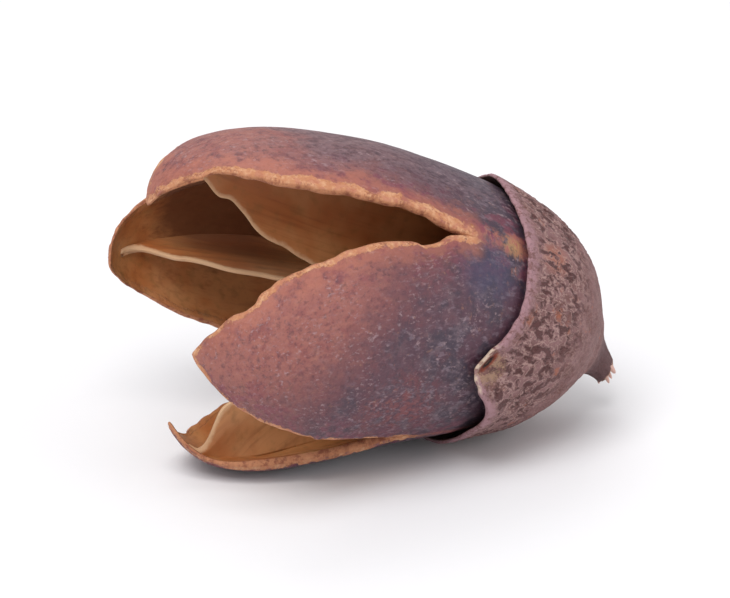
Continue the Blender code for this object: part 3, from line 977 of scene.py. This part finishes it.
# Rows of the cup's section, from the middle of its floor over the lip to the stalk's broken end:
# radius, height, how far inside it is, and how far down the stalk
rows = []
for step in range(CUP_INSIDE):
    share = CUP_REACH * (1.0 - math.cos(math.pi / 2.0 * step / CUP_INSIDE))
    rows.append((*profile_point(share, CUP_GAP), 1.0, 0.0))
rows[0] = (0.0, rows[0][1], 1.0, 0.0)
lip = CUP_WALL * LIP_WALL / 2.0
for step in range(LIP_ROWS + 1):
    turn = math.pi * step / LIP_ROWS
    radius, height_at = profile_point(CUP_REACH, CUP_GAP + lip - lip * math.cos(turn))
    rows.append((radius, height_at + lip * math.sin(turn), 0.5 + 0.5 * math.cos(turn), 0.0))
for step in range(1, CUP_OUTSIDE):
    share = CUP_REACH + (SHARES_UNDER_STALK - CUP_REACH) * step / CUP_OUTSIDE
    thinning = 1.0 - (1.0 - LIP_WALL) * smooth(0.3, 1.0, share / CUP_REACH)
    rows.append((*profile_point(share, CUP_GAP + CUP_WALL * thinning), 0.0, 0.0))
for step in range(STALK_ROWS + 1):
    rows.append((*along_stalk(step / STALK_ROWS), 0.0, step / STALK_ROWS))
for inset in (0.85, 0.55, 0.25, 0.0):
    rows.append((STALK[-1][0] * MM * inset, STALK[-1][1] * MM - 0.2 * MM, 0.0, 1.0))

bpy.ops.object.select_all(action="DESELECT")
bpy.ops.mesh.primitive_grid_add(x_subdivisions=CUP_AROUND, y_subdivisions=len(rows) - 1, size=2.0)
calyx = bpy.context.object
rim_height = CUP_REACH * LENGTH
grown_at, insides, from_rims, stalks, torn_spots, gashes = [], [], [], [], [], []
for vert in calyx.data.vertices:
    azimuth = math.pi * (vert.co.x + 1.0)
    index = round((vert.co.y + 1.0) / 2.0 * (len(rows) - 1))
    radius, height_at, inner, down_stalk = rows[index]
    direction = Vector((math.cos(azimuth), math.sin(azimuth), 0.0))
    rise = smooth(LOBES_FROM * rim_height, rim_height, height_at)
    share = max(height_at / LENGTH, 0.0)
    lobe = rise * calyx_lobe(azimuth) + smooth(0.55, 1.0, rise) * lip_wear(azimuth)
    widening = radius_at(share + lobe) - radius_at(share) + rise * rise * CUP_FLARE
    widening += rise ** 3 * STAND_OFF * bell(azimuth, BELOW_FLAP_AT, BELOW_FLAP_WIDTH)
    place = direction * (radius + widening)
    place.z = height_at + lobe * LENGTH
    grown_at.append(place / MM)
    insides.append(inner)
    from_rims.append(abs(rim_height - height_at) / MM)
    stalks.append(down_stalk)
    torn_spots.append(on_flap(azimuth, place.z, TORN_AT, TORN_SIZE))
    gashes.append(on_flap(azimuth, place.z, GASH_AT, GASH_SIZE, GASH_SLANT))
    place.x += STALK_HOOK * min(place.z / STALK_END, 1.0) ** 2 if place.z < 0.0 else 0.0
    vert.co = bend_axis(place)
write(calyx, "grown", grown_at)
write(calyx, "inside", insides)
write(calyx, "from_rim", from_rims)
write(calyx, "stalk", stalks)
write(calyx, "torn_spot", torn_spots)
write(calyx, "gash", gashes)
pick(calyx, "vertices", lambda vert: True)
bpy.ops.mesh.remove_doubles(threshold=0.002 * MM)
bpy.ops.mesh.normals_make_consistent(inside=False)
bpy.ops.object.mode_set(mode="OBJECT")

# Sink the hollows of the net, the gash and the grooves of the stalk
moves, pits = [], []
for vert, grown, inner, from_rim, down, gash, torn_spot in zip(
    calyx.data.vertices,
    read(calyx, "grown"),
    read(calyx, "inside"),
    read(calyx, "from_rim"),
    read(calyx, "stalk"),
    read(calyx, "gash"),
    read(calyx, "torn_spot"),
):
    warped = Vector((grown.x, grown.y, grown.z * 0.6)) / CELL
    warped += noise.noise_vector(grown / 1.1) * 0.45
    cell = 0.65 * smooth(0.03, 0.34, abs(noise.noise(warped)))
    cell += 0.35 * smooth(0.03, 0.34, abs(noise.noise(warped * 2.1 + Vector((7.0, 3.0, 1.0)))))
    drift = smooth(-0.25, 0.30, noise.noise(grown / 2.4 + Vector((4.0, 1.0, 2.0))))
    zone = smooth(0.5, 1.6, from_rim) * smooth(12.0, 8.0, from_rim)
    pit = cell * (0.25 + 0.75 * drift) * (0.25 + 0.75 * zone) * (1.0 - torn_spot) * (1.0 - inner)
    pits.append(pit * (1.0 - down))
    swell = 0.5 - 0.5 * noise.noise(grown / 3.1)
    ribs = 0.5 + 0.5 * noise.noise(Vector((grown.x * 1.6, grown.y * 1.6, grown.z * 0.35)))
    sunk = (PIT_DEPTH * pit + SWELL_DEPTH * swell * smooth(0.0, 3.0, from_rim)) * (1.0 - down)
    sunk += STALK_RIBS * ribs * down
    sunk += (GASH_DEPTH * gash + 0.08 * MM * smooth(0.25, 0.5, torn_spot)) * (1.0 - inner)
    moves.append(vert.normal * -(sunk * (1.0 - inner)))
write(calyx, "pit", pits)
for vert, move in zip(calyx.data.vertices, moves):
    vert.co += move
lay_down(calyx)

CUP_MAUVE = rgb(138, 100, 100)
CUP_GREY = rgb(172, 138, 132)
CUP_BROWN = rgb(112, 72, 68)
CUP_PIT = rgb(70, 26, 26)
CUP_RUST = rgb(176, 100, 66)
CUP_LIP = rgb(164, 124, 132)
CUP_INNER = rgb(88, 58, 44)
STALK_BROWN = rgb(88, 60, 62)
FLAP_TAN = rgb(156, 122, 98)
FLAP_PALE = rgb(208, 184, 164)
FLAP_RED = rgb(122, 48, 26)
GASH_PAINTED_SHADE = rgb(40, 16, 12)
RUST_PATCH = (9.6, -9.5, 8.2)

cup = Finish("calyx", roughness=0.8)
grown = cup.attribute("grown", output="Vector")
inner = cup.attribute("inside")
from_rim = cup.attribute("from_rim")
down = cup.attribute("stalk")
pit = cup.attribute("pit")
torn_spot = cup.attribute("torn_spot")
gash = cup.attribute("gash")
clouds = cup.noise(grown, 0.20, detail=4.0)
mottle = cup.noise(cup.stretched(grown, (0.9, 0.9, 0.5)), 1.0, detail=6.0, roughness=0.65)
grain = cup.noise(grown, 2.6, detail=6.0, roughness=0.7)
fine = cup.noise(grown, 6.5, detail=3.0, roughness=0.6)
colour = cup.mix(cup.ease(mottle + (grain - 0.5) * 0.5, 0.38, 0.64), CUP_MAUVE, CUP_BROWN)
colour = cup.mix(cup.ease(clouds + (grain - 0.5) * 0.5, 0.44, 0.62) * 0.5, colour, CUP_MAUVE)
colour = cup.mix(cup.ease(fine + (grain - 0.5) * 0.5, 0.50, 0.68) * 0.40, colour, CUP_GREY)
lines = cup.noise(cup.stretched(grown, (1.9, 1.9, 0.25)), 1.0, detail=4.0)
colour = cup.mix(cup.ease(lines, 0.50, 0.64) * cup.ease(from_rim, 5.0, 8.0) * 0.45, colour, CUP_BROWN)
belt = cup.ease(from_rim + (mottle - 0.5) * 3.0, 0.6, 1.7) * cup.ease(from_rim + (clouds - 0.5) * 5.0, 9.5, 5.5)
meshes = cup.noise(cup.stretched(grown, (1.35, 1.35, 0.95)), 1.0, detail=2.5, roughness=0.55, distortion=0.35)
hollow = cup.ease(meshes + (grain - 0.5) * 0.35, 0.47, 0.38) * (belt * 0.85 + 0.15)
colour = cup.mix(hollow.most(pit * belt * 0.6) * 0.80, colour, CUP_PIT)
strings = cup.ease((meshes - 0.53 + (fine - 0.5) * 0.08).maths("ABSOLUTE"), 0.045, 0.005)
colour = cup.mix(strings * (belt * 0.60 + 0.15), colour, CUP_GREY)
rusty = near(cup, grown, RUST_PATCH, 0.6, 2.6)
rust = (cup.ease(cup.noise(grown, 0.6, detail=4.0), 0.60, 0.70) * 0.5).most(rusty * 0.9)
colour = cup.mix(rust * cup.ease(meshes + (grain - 0.5) * 0.5, 0.44, 0.54), colour, CUP_RUST)
lip_pale = cup.ease(from_rim + (grain - 0.5) * 2.4 + (mottle - 0.5) * 2.6, 1.4, 0.1)
colour = cup.mix(lip_pale * 0.8, colour, CUP_LIP)
lip_scuffs = cup.ease(mottle + (grain - 0.5) * 0.9, 0.50, 0.62) * cup.ease(from_rim, 1.9, 0.3)
colour = cup.mix(lip_scuffs * 0.7, colour, CUP_BROWN)
bared = cup.ease(torn_spot + (grain - 0.5) * 0.7 + (mottle - 0.5) * 1.2, 0.34, 0.60)
colour = cup.mix(bared * 0.9, colour, cup.mix(cup.ease(mottle + (fine - 0.5) * 0.6, 0.42, 0.58), FLAP_TAN, CUP_BROWN))
torn_edge = cup.ease(from_rim + (grain - 0.5) * 0.7, 0.50, 0.10) * cup.ease(torn_spot, 0.12, 0.34)
torn_edge = torn_edge * cup.ease(meshes + (mottle - 0.5) * 0.8, 0.40, 0.54)
colour = cup.mix(torn_edge * 0.85, colour, FLAP_PALE)
colour = cup.mix(cup.ease(gash + (grain - 0.5) * 0.5, 0.24, 0.50) * 0.9, colour, FLAP_RED)
# Painted shade: the middle of the gash is coloured near black.
colour = cup.mix(cup.ease(gash + (fine - 0.5) * 0.3, 0.55, 0.80), colour, GASH_PAINTED_SHADE)
colour = cup.mix(cup.ease(down + (grain - 0.5) * 0.5, 0.15, 0.6) * 0.8, colour, STALK_BROWN)
colour = cup.mix(cup.ease(down + (grain - 0.5) * 0.1, 0.94, 1.0) * 0.9, colour, FLAP_TAN)
colour = cup.mix(cup.ease(inner, 0.55, 0.95), colour, CUP_INNER)
height = mottle * 0.4 + grain * 0.7 + fine * 0.25 - hollow * 0.8 + strings * 0.3
finish_piece(
    calyx,
    "calyx_cup",
    [cup.wear(Base_Color=colour, Roughness=0.72 + (grain - 0.5) * 0.3, Normal=cup.bump(height, 0.14 * MM))],
    replaced=("calyx",),
)


# ---- Frayed stalk end -----------------------------------------------------------------------
# Where the stalk broke off, its woody strands stand out past the bark, a few of them split away.

STRANDS = 12
STRAND_LENGTH = (0.40, 1.50)
STRAND_WIDTH = (0.20, 0.52)
STRAND_SIDES = 6
STRAND_RINGS = 6
STRAND_SPLAY = 0.35
FIBRE_PINK = rgb(210, 170, 158)

strands = []
for number in range(STRANDS):
    turn = number * math.pi * (3.0 - math.sqrt(5.0))
    out = math.sqrt((number + 0.5) / STRANDS)
    draw = [0.5 + 0.5 * noise.noise(Vector((number * 1.37 + 0.31, index * 2.71, 4.4))) for index in range(3)]
    length = (STRAND_LENGTH[0] + (STRAND_LENGTH[1] - STRAND_LENGTH[0]) * draw[0]) * MM
    width = (STRAND_WIDTH[0] + (STRAND_WIDTH[1] - STRAND_WIDTH[0]) * draw[1]) * MM
    foot = Vector((math.cos(turn), math.sin(turn), 0.0)) * out * 1.15 * MM
    bpy.ops.object.select_all(action="DESELECT")
    bpy.ops.mesh.primitive_cylinder_add(vertices=STRAND_SIDES, radius=1.0, depth=1.0, end_fill_type="TRIFAN")
    strand = bpy.context.object
    pick(strand, "polygons", lambda face: abs(face.normal.z) < 0.5)
    bpy.ops.mesh.subdivide(number_cuts=STRAND_RINGS)
    bpy.ops.object.mode_set(mode="OBJECT")
    for vert in strand.data.vertices:
        up = vert.co.z + 0.5
        taper = (1.0 - up) ** 0.45 * 0.85 + 0.15
        splay = foot.normalized() * STRAND_SPLAY * out * (draw[2] + 0.3) * up * up * length
        place = foot + splay + Vector((vert.co.x, vert.co.y, 0.0)) * width * taper
        place.z = STALK[-1][1] * MM + 0.3 * MM - up * length
        place.x += STALK_HOOK * min(place.z / STALK_END, 1.3) ** 2
        vert.co = bend_axis(place)
    strands.append(strand)
only(strands[0])
for strand in strands:
    strand.select_set(True)
bpy.ops.object.join()
stalk_fibres = bpy.context.object
pick(stalk_fibres, "vertices", lambda vert: True)
bpy.ops.mesh.normals_make_consistent(inside=False)
bpy.ops.object.mode_set(mode="OBJECT")
lay_down(stalk_fibres)
fibre = Finish("stalk_fibre", roughness=0.8)
tone = fibre.noise(fibre.place(), 700.0, detail=3.0)
colour = fibre.mix(fibre.ease(tone, 0.28, 0.52), STALK_BROWN, FIBRE_PINK)
finish_piece(stalk_fibres, "stalk_fibres", [fibre.wear(Base_Color=colour, Normal=fibre.bump(tone, 0.05 * MM))])
